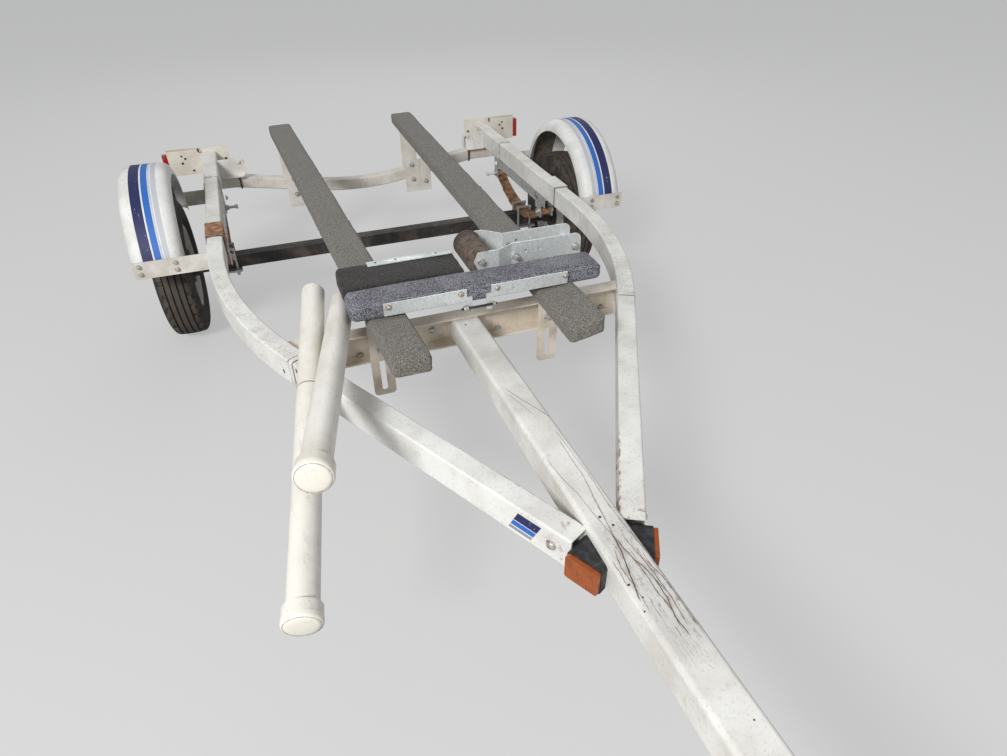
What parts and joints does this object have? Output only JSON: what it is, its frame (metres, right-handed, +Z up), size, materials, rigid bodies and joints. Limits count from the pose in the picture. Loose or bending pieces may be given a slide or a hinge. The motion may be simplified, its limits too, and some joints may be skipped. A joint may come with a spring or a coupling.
{
  "type": "boat trailer",
  "caption": "Single-axle bunk boat trailer with a V-shaped tube frame, tongue jack, ball coupler and carpeted bunks.",
  "frame": {"origin": "middle of the bounding box in plan, on the ground", "axes": "+X to the trailer's right side, +Y to its rear, +Z up"},
  "size_m": [1.868, 4.4001, 1.0085],
  "materials": {
    "white_paint": "aged satin",
    "galvanised": "dull",
    "rusty_steel": "rusty",
    "dark_steel": "worn",
    "tyre_rubber": "matt",
    "roller_rubber": "matt",
    "grey_carpet": "worn",
    "blue_grey_carpet": "worn",
    "dark_carpet": "worn",
    "amber_lens": "gloss",
    "red_lens": "gloss",
    "black_plastic": "matt",
    "white_plastic": "dirty matt",
    "zinc": "satin"
  },
  "bodies": {
    "frame": {"arm_left": "white_paint", "arm_right": "white_paint", "axle": "dark_steel", "axle_clamp_left": "galvanised", "axle_clamp_right": "galvanised", "bent_tube_left": "white_paint", "bent_tube_right": "white_paint", "bunk_bracket_rear_left": "white_paint", "bunk_bracket_rear_right": "white_paint", "bunk_brackets_front": "white_paint", "bunk_left": "grey_carpet", "bunk_right": "grey_carpet", "coupler": "white_paint", "cross_pad_front": "blue_grey_carpet", "cross_pad_rear": "dark_carpet", "fender_bracket_front_left": "white_paint", "fender_bracket_front_right": "white_paint", "fender_bracket_rear_left": "white_paint", "fender_bracket_rear_right": "white_paint", "fender_left": "white_paint", "fender_right": "white_paint", "front_crossmember": "white_paint", "guide_pole_inner": "white_plastic", "guide_pole_outer": "white_plastic", "jack_bracket": "zinc", "leaf_spring_left": "rusty_steel", "leaf_spring_right": "rusty_steel", "light_plate_left": "white_paint", "light_plate_right": "white_paint", "pad_angles": "galvanised", "rail_left": "white_paint", "rail_right": "white_paint", "rear_crossmember": "white_paint", "roller_arm": "galvanised", "side_lamps": "black_plastic", "side_lenses": "amber_lens", "spring_hanger_left": "rusty_steel", "spring_hanger_right": "rusty_steel", "tail_lamp_left": "red_lens", "tail_lamp_right": "red_lens", "tongue": "white_paint"},
    "wheel_assembly_right": {"wheel_right": "white_paint", "hub_right": "dark_steel", "tyre_right": "tyre_rubber"},
    "wheel_assembly_left": {"wheel_left": "white_paint", "hub_left": "dark_steel", "tyre_left": "tyre_rubber"},
    "jack_column": {"jack_tube": "zinc", "jack_crank": "zinc"},
    "jack_leg": {"jack_leg": "zinc"},
    "jack_caster": {"jack_caster": "zinc"},
    "jack_wheel": {"jack_wheel": "black_plastic"},
    "coupler_latch": {"coupler_latch": "zinc"},
    "roller": {"roller": "roller_rubber"}
  },
  "joints": [
    {"name": "wheel_right", "type": "hinge", "parent": "frame", "child": "wheel_assembly_right", "pos_m": [0.843, 1.59, 0.268], "axis": [1, 0, 0], "continuous": true},
    {"name": "wheel_left", "type": "hinge", "parent": "frame", "child": "wheel_assembly_left", "pos_m": [-0.843, 1.59, 0.268], "axis": [1, 0, 0], "continuous": true},
    {"name": "jack_swing", "type": "hinge", "parent": "frame", "child": "jack_column", "pos_m": [0.0841, -1.60003, 0.55746], "axis": [1, 0, 0], "range_deg": [0, 90]},
    {"name": "jack_extend", "type": "slide", "parent": "jack_column", "child": "jack_leg", "axis": [0, 0, 1], "range_m": [-0.09, 0.16]},
    {"name": "caster_swivel", "type": "hinge", "parent": "jack_leg", "child": "jack_caster", "pos_m": [0.0841, -1.60003, 0.163], "axis": [0, 0, 1], "continuous": true},
    {"name": "caster_roll", "type": "hinge", "parent": "jack_caster", "child": "jack_wheel", "pos_m": [0.0841, -1.62803, 0.076], "axis": [1, 0, 0], "continuous": true},
    {"name": "latch", "type": "hinge", "parent": "frame", "child": "coupler_latch", "pos_m": [0, -2.10158, 0.63114], "axis": [1, 0, 0], "range_deg": [0, 85]},
    {"name": "roller_spin", "type": "hinge", "parent": "frame", "child": "roller", "pos_m": [0.046, 0.4495, 0.6893], "axis": [0, 1, 0], "continuous": true}
  ]
}
